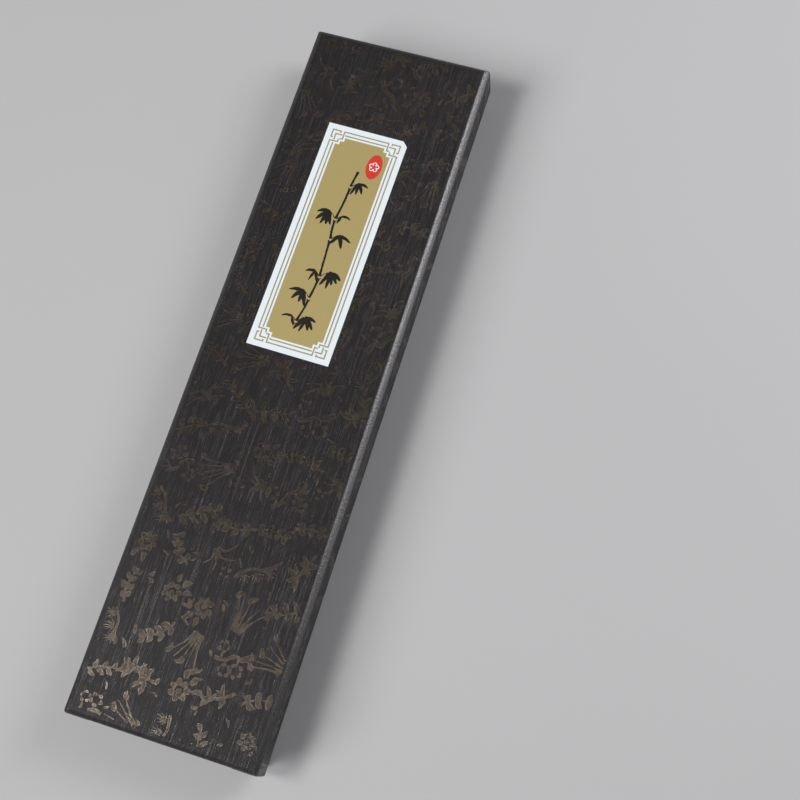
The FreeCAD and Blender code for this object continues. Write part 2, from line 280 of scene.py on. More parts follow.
def printed(name, colour, roughness=0.5, metallic=0.0, mottle=0.06):
    """Ink or coating on smooth label paper, with a faint mottle."""
    s = Shader(name, Roughness=roughness, Metallic=metallic)
    cloud = s.noise(s.place_mm(), 0.8, 4, 0.6)
    darker = tuple(c * (1 - 2 * mottle) for c in colour[:3]) + (1,)
    s.colour(s.mix(cloud, darker, colour))
    s.bump(s.noise(s.place_mm(), 4.0, 2, 0.5), 0.00001, 0.5)
    return s.material


def plain_paper(name, light, dark, roughness=0.7):
    """Uncoated paper or board: cloudy, with short fibres."""
    s = Shader(name, Roughness=roughness)
    place = s.place_mm()
    cloud = s.noise(place, 0.25, 4, 0.6)
    fibre = s.noise(s.scaled(place, (1.0, 0.3, 1.0)), 3.0, 3, 0.6)
    s.colour(s.mix(s.maths("MULTIPLY", s.maths("ADD", cloud, fibre), 0.5), dark, light))
    s.bump(fibre, 0.00003, 0.6)
    return s.material


# --- Drawing on the flat sheet
def curve_through(points, step):
    """Points about step apart on a smooth line through the given ones."""
    ends = [points[0], *points, points[-1]]
    line = []
    for before, start, stop, after in zip(ends, ends[1:], ends[2:], ends[3:]):
        count = max(2, int((Vector(stop) - Vector(start)).length / step) + 1)
        for i in range(count):
            t = i / count
            line.append([0.5 * (2 * b + (c - a) * t + (2 * a - 5 * b + 4 * c - d) * t ** 2
                                + (3 * b - a - 3 * c + d) * t ** 3)
                         for a, b, c, d in zip(before, start, stop, after)])
    return line + [list(points[-1])]


def swell(kind, t):
    """Width of a brush stroke along its length, from 0 to 1."""
    if kind == "leaf":
        return 0.10 + 0.90 * math.sin(math.pi * min(1.0, t * 0.96 + 0.04) ** 0.75) ** 0.8
    if kind == "branch":
        return 1.0 - 0.45 * t + 0.12 * math.sin(9 * t)
    if kind == "blade":
        return 0.25 + 0.75 * (1 - t) ** 0.7 * (0.8 + 0.2 * math.sin(7 * t))
    return 1.0 - 0.25 * math.sin(math.pi * t)


class Drawing:
    """Strokes that become thin ribbons on a surface given by a function from flat place and
    lift to a point, or to None where there is no paper. edges lists how far in from a stroke's
    edge each line of points lies, and its value of the attribute "rim"."""

    def __init__(self, surface, lift, rng, rough=0.12, step=0.5, edges=((0, 1.0), (0.1, 0.0))):
        self.surface, self.lift, self.rng = surface, lift, rng
        self.rough, self.step, self.edges = rough, step, edges
        self.points, self.faces, self.rim = [], [], []

    def stroke(self, points, width, kind="line"):
        line = curve_through(points, self.step)
        lift = self.lift * (1 + self.rng.random())
        tag = self.rng.uniform(0, 100)
        previous = None
        for i, here in enumerate(line):
            before, after = line[max(0, i - 1)], line[min(len(line) - 1, i + 1)]
            ahead = Vector(after) - Vector(before)
            side = Vector((-ahead.y, ahead.x)).normalized() if ahead.length > 1e-9 else Vector((1, 0))
            half = 0.5 * width * swell(kind, i / (len(line) - 1))
            row = []
            for sign in (-1, 1):
                spot = Vector((here[0], here[1], tag + 5 * sign))
                uneven = 1 + self.rough * (noise.noise(0.8 * spot) + 0.6 * noise.noise(2.6 * spot))
                reaches = [(max(half * uneven - inset, half * uneven * 0.6 ** k), rim)
                           for k, (inset, rim) in enumerate(self.edges)]
                row += [(Vector(here) + sign * reach * side, rim) for reach, rim in reaches[::-sign]]
            placed = [(self.surface(*place, lift), rim) for place, rim in row]
            if any(point is None for point, _ in placed):
                previous = None
                continue
            start = len(self.points)
            self.points += [point for point, _ in placed]
            self.rim += [rim for _, rim in placed]
            if previous is not None:
                self.faces += [(previous + k, previous + k + 1, start + k + 1, start + k)
                               for k in range(len(placed) - 1)]
            previous = start

    def disc(self, centre, radii, sides=40, wobble=0.02):
        """A filled oval with a slightly uneven edge."""
        ring = []
        for i in range(sides):
            angle = 2 * math.pi * i / sides
            reach = 1 + wobble * self.rng.uniform(-1, 1)
            ring.append(self.surface(centre[0] + radii[0] * math.cos(angle) * reach,
                                     centre[1] + radii[1] * math.sin(angle) * reach, self.lift))
        start = len(self.points)
        self.points += ring + [self.surface(*centre, self.lift)]
        self.rim += [1.0] * sides + [0.0]
        self.faces += [(start + i, start + (i + 1) % sides, start + sides) for i in range(sides)]

    def make(self, name, material, body, slot):
        return add_mesh(name, self.points, self.faces, material, body, slot, rim=self.rim)


def grid_faces(rows, width, start=0, closed=False):
    """Faces between rows of points; each row closes round on itself if asked."""
    faces = []
    for row in range(rows - 1):
        for k in range(width if closed else width - 1):
            a, b = start + row * width + k, start + row * width + (k + 1) % width
            faces.append((a, b, b + width, a + width))
    return faces


def in_scene(name, data):
    made = bpy.data.objects.new(name, data)
    bpy.context.scene.collection.objects.link(made)
    return made


def add_mesh(name, points, faces, material, body, slot, smooth=True, **attributes):
    """A piece from points in millimetres, which rides on a body."""
    mesh = bpy.data.meshes.new(name)
    mesh.from_pydata([tuple(Vector(p) * MM) for p in points], [], faces)
    for key, values in attributes.items():
        mesh.attributes.new(key, "FLOAT", "POINT").data.foreach_set("value", values)
    mesh.polygons.foreach_set("use_smooth", [smooth] * len(faces))
    mesh.materials.append(material)
    piece = in_scene(name, mesh)
    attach(piece, body)
    return piece


def folded_surface(half_width, half_length, level, fold, wall, outward, flat_shows, bare=None):
    """Where a place on a wrapping sheet lies once it is folded round a box, or None on a fold and
    where nothing is drawn. level is the flat panel's height, wall how far the paper runs along a
    wall, and outward is -1 where the walls go down from the panel and 1 where they go up."""
    arc = fold * math.pi / 2

    def bend(value, half, lift):
        """Place along one axis, how far down the wall, and whether flat, wall or neither."""
        past = abs(value) - (half - fold)
        if past <= 0:
            return value, 0.0, "flat"
        on_wall = arc <= past < arc + wall
        return math.copysign(half + lift, value), fold + past - arc, "wall" if on_wall else "off"

    def surface(u, v, lift):
        x, drop_x, zone_x = bend(u, half_width, lift)
        y, drop_y, zone_y = bend(v, half_length, lift)
        if zone_x != "flat" and zone_y == "wall" and abs(u) < half_width - CORNER:
            x, drop_x, zone_x = u, 0.0, "flat"
        elif zone_y != "flat" and zone_x == "wall" and abs(v) < half_length - CORNER:
            y, drop_y, zone_y = v, 0.0, "flat"
        if "off" in (zone_x, zone_y) or (bare and bare(u, v)):
            return None
        if zone_x == zone_y == "flat":
            return (x, y, level - outward * lift) if flat_shows else None
        return (x, y, level + outward * (drop_x + drop_y)) if "flat" in (zone_x, zone_y) else None

    return surface


# --- Motifs of the wrapping paper: sprays of plants, no lettering
def turned_to(origin, angle, scale, points):
    """Points of a motif, turned, scaled and moved to their place on the sheet."""
    c, s = math.cos(angle) * scale, math.sin(angle) * scale
    return [(origin[0] + c * x - s * y, origin[1] + s * x + c * y) for x, y in points]


def toward(start, angle, reach):
    """The place that lies at a distance and an angle from another."""
    return (start[0] + reach * math.cos(angle), start[1] + reach * math.sin(angle))


def bamboo(r):
    """A stem and two fans of broad pointed leaves."""
    yield [(-6, -7), (-2.5, -2), (1.5, 2), (5, 7.5)], 1.5, "branch"
    for node, lean in (((-2.5, -2), 0.2), ((2.5, 3.2), -0.3)):
        for i in range(r.randint(4, 5)):
            angle = lean - 1.3 + 0.95 * i + r.uniform(-0.25, 0.25)
            reach = r.uniform(5.0, 7.5)
            tip = toward(node, angle, reach)
            middle = [(a + b) / 2 + r.uniform(-0.7, 0.7) for a, b in zip(node, tip)]
            yield [node, middle, tip], r.uniform(2.2, 3.0), "leaf"


def blossom(r, centre, reach, petals=5):
    """Fat petals set round an open middle."""
    turn = r.random()
    for petal in range(petals):
        a = turn + petal * 2 * math.pi / petals
        across = a + math.pi / 2
        heart = toward(centre, a, 0.62 * reach)
        half = 0.36 * reach
        outline = [toward(heart, across, -half), toward(heart, a, 0.3 * reach), toward(heart, across, half)]
        yield outline, 0.6 * reach, "leaf"


def plum(r):
    """A crooked branch with short spurs and open blossoms."""
    yield [(-8.5, -5), (-4.5, -1.5), (-1, -1.8), (2.8, 1.6), (8, 2.4)], 2.8, "branch"
    for spur, end in (((-3.2, -1.7), (-3.9, 1.4)), ((4.6, 1.9), (5.4, -1.0))):
        yield [spur, ((spur[0] + end[0]) / 2 + 0.4, (spur[1] + end[1]) / 2), end], 1.5, "branch"
    for centre in ((-4.3, 4.4), (6.0, -4.0), (1.2, 6.2))[:r.randint(2, 3)]:
        yield from blossom(r, centre, r.uniform(2.6, 3.3))


def orchid(r):
    """Long arching blades from one root, and a flower."""
    for i in range(r.randint(5, 6)):
        lean = -1.15 + 0.45 * i + r.uniform(-0.12, 0.12)
        reach = r.uniform(9, 15)
        bow = r.uniform(0.4, 0.9) * math.copysign(1, lean)
        yield [(0.4 * i - 1, -8), (reach * 0.42 * math.sin(lean), -8 + reach * 0.52 * math.cos(lean)),
               (reach * 0.9 * math.sin(lean + 0.4 * bow), -8 + reach * 0.88 * math.cos(lean + 0.5 * bow))], \
            r.uniform(1.7, 2.5), "blade"
    yield from blossom(r, (r.uniform(-5, 5), 4.5), 2.6, 4)


def fern(r):
    """A curved stem with fat leaves on alternate sides."""
    yield [(-8, -6), (-3, -2.5), (2, 2), (8, 5)], 1.4, "branch"
    for i in range(8):
        t = 0.06 + 0.125 * i
        base = (-8 + 16 * t, -6 + 11 * t)
        angle = 0.6 + (0.95 if i % 2 else -1.0) + r.uniform(-0.25, 0.25)
        reach = (6.4 - 2.6 * t) * r.uniform(0.85, 1.1)
        yield [base, toward(base, angle - 0.2, 0.5 * reach), toward(base, angle, reach)], 2.7, "leaf"


def pine(r):
    """A long bough with half-round fans of needles along its upper side."""
    yield [(-8.8, -3.4), (-3.4, -1.8), (2.6, -2.6), (8.6, -0.6)], 2.0, "branch"
    for x, y, count in ((-6.0, -1.6, 6), (-0.2, -0.9, 7), (5.8, -0.2, 6)):
        for k in range(count):
            a = 0.35 + (math.pi - 0.7) * k / (count - 1) + r.uniform(-0.08, 0.08)
            reach = r.uniform(4.6, 5.6)
            tip = (x + reach * 0.62 * math.cos(a), y + reach * math.sin(a))
            yield [(x + 0.5 * math.cos(a), y), tip], 1.15, "blade"


def peony(r):
    """A full flower: overlapping petals round a solid heart, with leaves on one side."""
    heart = (0, 0)
    yield [(-1.1, -0.3), (0.1, 0.5), (1.2, 0.1)], 3.0, "leaf"
    for k in range(7):
        a = k * 2 * math.pi / 7 + r.uniform(-0.12, 0.12)
        reach = r.uniform(4.6, 5.4)
        petal = [toward(heart, a, 1.9), toward(heart, a + 0.1, 0.62 * reach), toward(heart, a, reach)]
        yield petal, 3.0, "leaf"
    for a, reach in ((-2.6, 4.6), (-2.0, 5.4), (-1.35, 4.4)):
        foot = toward(heart, a, 5.2)
        yield [foot, toward(foot, a + 0.25, 0.6 * reach), toward(foot, a, reach)], 2.6, "leaf"


def reeds(r):
    """A tuft of blades that fan out in the wind, with heavy heads."""
    for i in range(5):
        foot, top = -1.6 + 0.8 * i, -8.5 + 3.9 * i + r.uniform(-0.8, 0.8)
        height = 7.4 - 0.5 * abs(i - 1.5) + r.uniform(-1.2, 0.6)
        yield [(foot, -8.5), (foot + 0.35 * (top - foot), -1.5), (top, height)], r.uniform(1.3, 1.9), "blade"
        if i % 2 == 0:
            yield [(top - 0.5, height - 2.4), (top + 0.4, height), (top + 2.3, height + 1.2)], 2.5, "leaf"


def vine(r):
    """A gently bent stem with pairs of round leaves."""
    yield [(-8.5, -3.5), (-3.5, -0.2), (2, 1.4), (8.5, 1.2)], 1.5, "line"
    for joint, a in (((-6.0, -1.8), 0.5), ((-2.0, 0.3), 0.35), ((2.4, 1.4), 0.1), ((6.2, 1.4), -0.05)):
        for side in (-1, 1):
            lean = a + side * r.uniform(0.95, 1.35)
            reach = r.uniform(3.2, 4.4)
            tip = toward(joint, lean - side * 0.3, reach)
            yield [joint, toward(joint, lean, 0.55 * reach), tip], 2.9, "leaf"


MOTIFS = (bamboo, plum, orchid, fern, pine, peony, reeds, vine)
MOTIF_PITCH = (17.2, 17.8)     # millimetres across and along the box
PRINT_LIFT = 0.016             # of the print over the paper
RIM_GAP = 0.25                 # between the print and a wall's free edge
PRINT_EDGES = ((0, 2.0), (0.22, 1.0), (0.52, 0.0))


def print_wrap(name, surface, reach_across, reach_along, body, material, seed):
    """Prints motifs in loose columns over a whole wrapping sheet, with small strokes between."""
    r = random.Random(seed)
    drawing = Drawing(surface, PRINT_LIFT, r, rough=0.55, step=0.8, edges=PRINT_EDGES)
    columns, rows = int(reach_across / MOTIF_PITCH[0]) + 1, int(reach_along / MOTIF_PITCH[1]) + 1
    last = None
    for column in range(-columns, columns + 1):
        offset = r.uniform(0, MOTIF_PITCH[1])
        for row in range(-rows, rows + 1):
            motif = r.choice([m for m in MOTIFS if m is not last])
            last = motif
            origin = (column * MOTIF_PITCH[0] + r.uniform(-1.5, 1.5),
                      row * MOTIF_PITCH[1] + offset + r.uniform(-1.5, 1.5))
            angle, scale = r.choice((0, math.pi / 2, math.pi)) + r.uniform(-0.5, 0.5), r.uniform(0.82, 1.0)
            for points, width, kind in motif(r):
                drawing.stroke(turned_to(origin, angle, scale, points), width * scale, kind)
            for _ in range(2):
                spot = (origin[0] + MOTIF_PITCH[0] / 2 + r.uniform(-2, 2), origin[1] + r.uniform(-8, 8))
                a, reach = r.uniform(0, math.pi), r.uniform(1.2, 2.4)
                drawing.stroke([toward(spot, a, -reach), spot, toward(spot, a + 0.4, reach)],
                               r.uniform(1.1, 1.7), "leaf")
    return drawing.make(name, material, body, "wrapping_paper")


lid_half = (lid_high - lid_low) / 2
tray_half = (tray_high - tray_low) / 2
LABEL_CENTRE = (-2.85, 62.5)
LABEL_WIDTH = 38.4
LABEL_LENGTH = 112.8
LABEL_SKEW = math.radians(-0.7)
PRINT_UNDER = 1.5              # how far the print runs on under the label's edge


def under_label(u, v):
    """Whether a place on the lid lies well under the label."""
    return (abs(u - LABEL_CENTRE[0]) < LABEL_WIDTH / 2 - PRINT_UNDER
            and abs(v - LABEL_CENTRE[1]) < LABEL_LENGTH / 2 - PRINT_UNDER)


lid_print_surface = folded_surface(lid_half.x, lid_half.y, lid_high.z, LID_FOLD,
                                   lid_high.z - lid_low.z - LID_FOLD - RIM_GAP, -1, True, under_label)
tray_print_surface = folded_surface(tray_half.x, tray_half.y, tray_low.z, TRAY_FOLD,
                                    tray_high.z - tray_low.z - TRAY_FOLD - RIM_GAP, 1, False)

print_wrap("lid_print", lid_print_surface, lid_half.x + 20, lid_half.y + 20, "lid",
           bronze_ink("bronze_ink_lid", lid_high.z), SEED)
print_wrap("tray_print", tray_print_surface, tray_half.x + 30, tray_half.y + 30, "tray",
           bronze_ink("bronze_ink_tray", tray_high.z), SEED + 1)


# --- Label
def label_surface(x, y, lift):
    """A place on the label, measured from its centre, with y towards its top."""
    c, s = math.cos(LABEL_SKEW), math.sin(LABEL_SKEW)
    return (LABEL_CENTRE[0] + c * x - s * y, LABEL_CENTRE[1] + s * x + c * y, label_high.z + lift)


PANEL_LIFT, FRAME_LIFT, INK_LIFT, SEAL_LIFT, RELIEF_LIFT = 0.008, 0.012, 0.014, 0.016, 0.022
OUTER_LINE = 2.9           # from the label's edge to the frame's outer line
FRET = 1.8                 # the frame's unit of spacing
LINE_WIDTH = 0.62
FAR_X = (LABEL_WIDTH / 2 - OUTER_LINE) / FRET
FAR_Y = (LABEL_LENGTH / 2 - OUTER_LINE) / FRET


def from_corner(sx, sy, a, b):
    """A place given in frets inwards from a corner of the frame's outer line."""
    return (sx * (LABEL_WIDTH / 2 - OUTER_LINE - a * FRET), sy * (LABEL_LENGTH / 2 - OUTER_LINE - b * FRET))


def mitred(points, width):
    """Left and right outlines of a line with square corners."""
    sides = []
    for i, here in enumerate(points):
        arrive = (Vector(here) - Vector(points[i - 1])).normalized() if i else None
        leave = (Vector(points[i + 1]) - Vector(here)).normalized() if i + 1 < len(points) else None
        arrive, leave = arrive or leave, leave or arrive
        normal = Vector((-arrive.y - leave.y, arrive.x + leave.x)).normalized()
        stretch = 0.5 * width / max(0.3, normal.dot(Vector((-leave.y, leave.x))))
        sides.append((Vector(here) - normal * stretch, Vector(here) + normal * stretch))
    return sides


def label_frame(material):
    """The double line round the label, knotted into a fret at each corner."""
    points, faces = [], []
    for sx in (-1, 1):
        for sy in (-1, 1):
            corner_lines = [[(2.1, 0.5), (2.1, 0), (0, 0), (0, 2.1), (0.5, 2.1)],
                            [(FAR_X, 0), (3.1, 0), (3.1, 2.1), (2.3, 2.1)],
                            [(0, FAR_Y), (0, 3.1), (2.1, 3.1), (2.1, 2.3)],
                            [(FAR_X, 1), (3.5, 1)], [(1, FAR_Y), (1, 3.5)],
                            [(2.75, 1), (1, 1), (1, 1.55)], [(1, 2.75), (1, 1.55)]]
            for line in corner_lines:
                start = len(points)
                for left, right in mitred([from_corner(sx, sy, a, b) for a, b in line], LINE_WIDTH):
                    points += [label_surface(*left, FRAME_LIFT), label_surface(*right, FRAME_LIFT)]
                faces += grid_faces(len(line), 2, start)
    return add_mesh("label_frame", points, faces, material, "lid", "label_paper", smooth=False)


def label_panel(material):
    """The gold panel, whose corners step in round the frets."""
    corner = [(3.75, 1.65), (3.75, 2.75), (2.75, 2.75), (2.75, 3.75), (1.65, 3.75)]
    outline = []
    for sx, sy, steps in ((1, 1, corner), (1, -1, corner[::-1]), (-1, -1, corner), (-1, 1, corner[::-1])):
        outline += [label_surface(*from_corner(sx, sy, a, b), PANEL_LIFT) for a, b in steps]
    return add_mesh("label_panel", outline, [tuple(range(len(outline)))[::-1]], material, "lid",
                    "label_paper", smooth=False)


LABEL_JOINTS = ((1.8, 36.5), (0.8, 27.5), (-0.7, 10.5), (0.3, 0.5), (1.6, -18.0), (0.6, -29.0), (-1.4, -41.0))
LABEL_FANS = (((1, 4, 0.85),), ((-1, 5, 1.1), (1, 2, 0.7)), ((1, 3, 1.0),), ((-1, 3, 0.75), (1, 5, 1.15)),
              ((-1, 4, 1.0),), ((1, 5, 1.05), (-1, 2, 0.7)))       # side, leaves, size


def label_bamboo(material):
    """A bent stem of bamboo in brushed ink, with leaves that hang in uneven fans down the panel."""
    r = random.Random(SEED + 7)
    drawing = Drawing(label_surface, INK_LIFT, r, rough=0.25, step=0.35)
    for a, b, fans in zip(LABEL_JOINTS, LABEL_JOINTS[1:], LABEL_FANS):
        middle = ((a[0] + b[0]) / 2 + r.uniform(-0.3, 0.3), (a[1] + b[1]) / 2)
        drawing.stroke([(a[0], a[1] - 0.5), middle, (b[0], b[1] + 0.6)], 1.3, "line")
        knot = [(b[0] - 0.9, b[1] - 0.25), (b[0], b[1] - 0.75), (b[0] + 1.0, b[1] - 0.1)]
        drawing.stroke(knot, 0.55, "leaf")
        for side, leaves, size in fans:
            joint = (b[0] + side * 0.4, b[1] + 0.6)
            elbow = (joint[0] + side * 2.6 * size, joint[1] + 2.4 * size)
            drawing.stroke([joint, ((joint[0] + elbow[0]) / 2, joint[1] + 1.5 * size), elbow], 0.42, "branch")
            for k in range(leaves):
                angle = math.radians(-112 + 98 * k / (leaves - 1) + r.uniform(-8, 8))
                reach = 7.0 * size * r.uniform(0.75, 1.1)
                tip = (elbow[0] + side * reach * math.cos(angle), elbow[1] + reach * math.sin(angle))
                bow = ((elbow[0] + tip[0]) / 2 + side * r.uniform(0.1, 0.6), (elbow[1] + tip[1]) / 2 + 0.5)
                drawing.stroke([elbow, bow, tip], r.uniform(1.6, 2.3) * size, "leaf")
    return drawing.make("label_bamboo", material, "lid", "label_paper")


SEAL_CENTRE = (7.9, LABEL_LENGTH / 2 - 16.2)
SEAL_RADII = (3.6, 6.3)


def label_seal(red, white):
    """An oval seal with one blossom left white in it."""
    r = random.Random(SEED + 8)
    ground = Drawing(label_surface, SEAL_LIFT, r)
    ground.disc(SEAL_CENTRE, SEAL_RADII)
    ground.make("label_seal", red, "lid", "label_paper")
    relief = Drawing(label_surface, RELIEF_LIFT, r, rough=0.2, step=0.25)
    for petal in range(5):
        a = 0.3 + petal * 2 * math.pi / 5
        heart = toward(SEAL_CENTRE, a, 1.45)
        relief.stroke([toward(heart, a + b, 0.85) for b in (-2.5, -1.3, 0, 1.3, 2.5)], 0.5, "line")
    relief.make("label_seal_relief", white, "lid", "label_paper")


white_print = printed("label_white", LABEL_WHITE, 0.45, mottle=0.015)
label_panel(printed("label_gold", LABEL_GOLD, 0.45, 0.15, mottle=0.04))
label_frame(printed("label_line", LINE_GOLD, 0.45, 0.15))
label_bamboo(printed("label_ink", INK_BLACK, 0.4))
label_seal(printed("seal_red", SEAL_RED, 0.45), white_print)

# --- Corner tucks: the triangular flap of paper that closes each upright corner
TUCK_REACH = 11.0
TUCK_SLANT = 0.72              # the tuck's reach at its narrow end, over TUCK_REACH
TUCK_THICKNESS = 0.14
EDGE_GAP = 0.4


def corner_tucks(name, half, low, high, fold_low, fold_high, body, material):
    """A flap on each end wall beside each corner, cut back slantwise towards the rim."""
    points, faces = [], []
    for sx in (-1, 1):
        for sy in (-1, 1):
            bottom, top = low + (fold_low or EDGE_GAP), high - (fold_high or EDGE_GAP)
            outline = [(half.x - CORNER, bottom), (half.x - CORNER, top),
                       (half.x - TUCK_REACH, top), (half.x - TUCK_REACH * TUCK_SLANT, bottom)]
            if fold_low:
                outline[2:] = [(half.x - TUCK_REACH * TUCK_SLANT, top), (half.x - TUCK_REACH, bottom)]
            start = len(points)
            points += [(sx * x, sy * (half.y + depth), z)
                       for depth in (0.0, TUCK_THICKNESS) for x, z in outline]
            count = len(outline)
            sides = [tuple(range(count)), tuple(range(count, 2 * count))[::-1]]
            sides += [(k, k + count, (k + 1) % count + count, (k + 1) % count) for k in range(count)]
            for side in sides:
                placed = tuple(start + k for k in side)
                faces.append(placed if sx * sy > 0 else placed[::-1])
    return add_mesh(name, points, faces, material, body, "wrapping_paper", smooth=False)


# --- Bed: satin over foam, with a groove for each brush
BED_EDGE = 2.0             # radius of the cloth over the bed's outer edges
GROOVE_LIP = 1.6           # radius of the cloth over a groove's edge
GROOVE_STEP = -19.5        # where the grooves turn from wide to narrow
STEP_RUN = 2.5             # half the length over which they do
GROOVE_END = 157.1
END_RUN = 2.2              # length over which a groove comes up at its ends
GROOVE_SPARE = 0.45        # clearance of the cloth round a brush
CLOTH = 0.3                # thickness of the satin
SKIRT_GAP = 0.9            # between the cloth's hem and the card
CLOTH_STEP = 1.2           # between the cloth's rows of points
FOAM_INSET = 1.0           # of the foam from the cloth's outer face
FOAM_STEP = 4.0

bed_low, bed_high = box_mm("satin_cover")
foam_low, _ = box_mm("foam_pad")


def smooth_step(value, start, stop):
    t = min(1.0, max(0.0, (value - start) / (stop - start)))
    return t * t * (3 - 2 * t)


def groove_sizes(brush):
    """Centre, axis height, and half-widths of a brush's groove beside its cap and its handle."""
    cap_low, cap_high = box_mm(f"{brush}_cap")
    ring_low, ring_high = box_mm(f"{brush}_tail_ring")
    centre = (cap_low + cap_high) / 2
    return (centre.x, centre.z, (cap_high.x - cap_low.x) / 2 + GROOVE_SPARE,
            (ring_high.x - ring_low.x) / 2 + GROOVE_SPARE)


def arc_points(x, z, radius, start, stop, count):
    """Points round an arc in the X-Z plane, by degrees."""
    angles = [math.radians(start + (stop - start) * k / count) for k in range(count)]
    return [(x + radius * math.cos(a), z + radius * math.sin(a)) for a in angles]


def straight(start, stop, count):
    return [(start[0] + (stop[0] - start[0]) * k / count, start[1] + (stop[1] - start[1]) * k / count)
            for k in range(count)]


def bed_section(y, inset):
    """The cloth's line across the bed, from hem to hem, inset from the satin's outer face."""
    top, side, low = bed_high.z - inset, bed_high.x - inset, foam_low.z + SKIRT_GAP
    deep = smooth_step(GROOVE_END - abs(y), 0.0, END_RUN)
    line = straight((-side, low), (-side, top - BED_EDGE), 6)
    line += arc_points(-side + BED_EDGE, top - BED_EDGE, BED_EDGE, 180, 90, 5)
    land_start, lip = -side + BED_EDGE, GROOVE_LIP
    for x, z, wide, narrow in GROOVES:
        half = wide + (narrow - wide) * smooth_step(y, GROOVE_STEP - STEP_RUN, GROOVE_STEP + STEP_RUN) + inset
        dip = [(x - half - lip, top)] + arc_points(x - half - lip, top - lip, lip, 80, 0, 5)
        dip += straight((x - half, top - lip), (x - half, z), 3)
        dip += arc_points(x, z, half, 180, 360, 16)
        dip += straight((x + half, z), (x + half, top - lip), 3)
        dip += arc_points(x + half + lip, top - lip, lip, 180, 90, 5) + [(x + half + lip, top)]
        land = straight((land_start, top), dip[0], 9)
        line += land[1:] if land[0] == line[-1] else land
        line += [(px, top - (top - pz) * deep) for px, pz in dip]
        land_start = dip[-1][0]
    line += straight((land_start, top), (side - BED_EDGE, top), 9)[1:]
    line += arc_points(side - BED_EDGE, top - BED_EDGE, BED_EDGE, 90, 0, 5)
    line += straight((side, top - BED_EDGE), (side, low), 6) + [(side, low)]
    return line


def bed_rows(inset, spacing):
    """Stations along the bed, as (y, how far the cloth has dropped over the end)."""
    end, low = bed_high.y - inset, foam_low.z + SKIRT_GAP
    half_rows = []
    count = int((end - BED_EDGE) / spacing)
    half_rows += [((end - BED_EDGE) * k / count, 0.0) for k in range(count + 1)]
    half_rows += [(GROOVE_END - END_RUN * k / 6, 0.0) for k in range(7)]
    half_rows = sorted(set(half_rows))
    half_rows += [(end - BED_EDGE + BED_EDGE * math.sin(a), BED_EDGE * (1 - math.cos(a)))
                  for a in (0.39, 0.79, 1.18, 1.57)]
    drop = bed_high.z - inset - low
    half_rows += [(end, BED_EDGE + (drop - BED_EDGE) * k / 5) for k in range(1, 6)]
    return [(-y, d) for y, d in half_rows[:0:-1]] + half_rows


def creases(x, y):
    """How far the cloth sinks here: soft puckers along the grooves, finer creases on the flat."""
    slow = noise.noise(Vector((x * 0.05, y * 0.09, 3.1)))
    pucker = noise.noise(Vector((x * 0.10, y * 0.15, 7.7)))
    fine = noise.noise(Vector((x * 0.4, y * 0.4, 0.0)))
    nearness = max(math.exp(-((abs(x - gx) - wide) / 4.5) ** 2) for gx, _, wide, _ in GROOVES)
    return 0.12 * (slow + 1) + 0.42 * nearness * smooth_step(pucker, -0.25, 0.45) + 0.04 * (fine + 1)


def bed_surface(inset, spacing, creased):
    """Points of the cloth or the foam's top, row by row, and faces between them."""
    points, rows = [], bed_rows(inset, spacing)
    for y, drop in rows:
        for x, z in bed_section(y, inset):
            z = min(z, bed_high.z - inset - drop)
            if creased and z > foam_low.z + 3:
                sunk = creases(x, y)
                centre = min(GROOVES, key=lambda g: abs(x - g[0]))
                if abs(x - centre[0]) < centre[2] + GROOVE_LIP:
                    deep = smooth_step(bed_high.z - z, 0.0, 2 * GROOVE_LIP)
                    x += 0.4 * sunk * math.copysign(deep, x - centre[0])
                z -= sunk
            points.append((x, y, z))
    width = len(points) // len(rows)
    return points, grid_faces(len(rows), width), width


GROOVES = [groove_sizes(brush) for brush in ("large", "small")]


def satin_material():
    """Gold satin: a fine weave whose sheen runs across the bed, and a slow change of shade."""
    s = Shader("gold_satin", Roughness=0.34, Specular_IOR_Level=0.6, Sheen_Weight=0.5,
               Sheen_Roughness=0.35, Anisotropic=0.5)
    s.bsdf.inputs["Sheen Tint"].default_value = (1.0, 0.86, 0.55, 1)
    place = s.place_mm()
    weft = s.wave(place, "Y", 1.3, 0.6)
    warp = s.wave(place, "X", 0.7, 0.4, 1.0)
    shade = s.noise(place, 0.06, 3, 0.5)
    weave = s.maths("ADD", s.maths("MULTIPLY", weft, 0.6), s.maths("MULTIPLY", warp, 0.4))
    tone = s.maths("ADD", s.maths("MULTIPLY", weave, 0.35), s.maths("MULTIPLY", shade, 0.65))
    s.colour(s.mix(tone, (0.46, 0.27, 0.045, 1), (0.74, 0.50, 0.13, 1)))
    s.bump(weave, 0.00006, 0.5)
    return s.material


def foam_material():
    """White upholstery foam, with open cells, and painted shade darkening each cell's hollow."""
    s = Shader("foam", Roughness=0.95, Specular_IOR_Level=0.2)
    place = s.place_mm()
    cells = s.node("ShaderNodeTexVoronoi", Vector=place, Scale=1.4).outputs["Distance"]
    # Painted shade: the colour darkens where the cells dip
    s.colour(s.mix(cells, (0.60, 0.59, 0.53, 1), (0.86, 0.85, 0.80, 1)))
    s.bump(cells, 0.0004, 0.8)
    return s.material


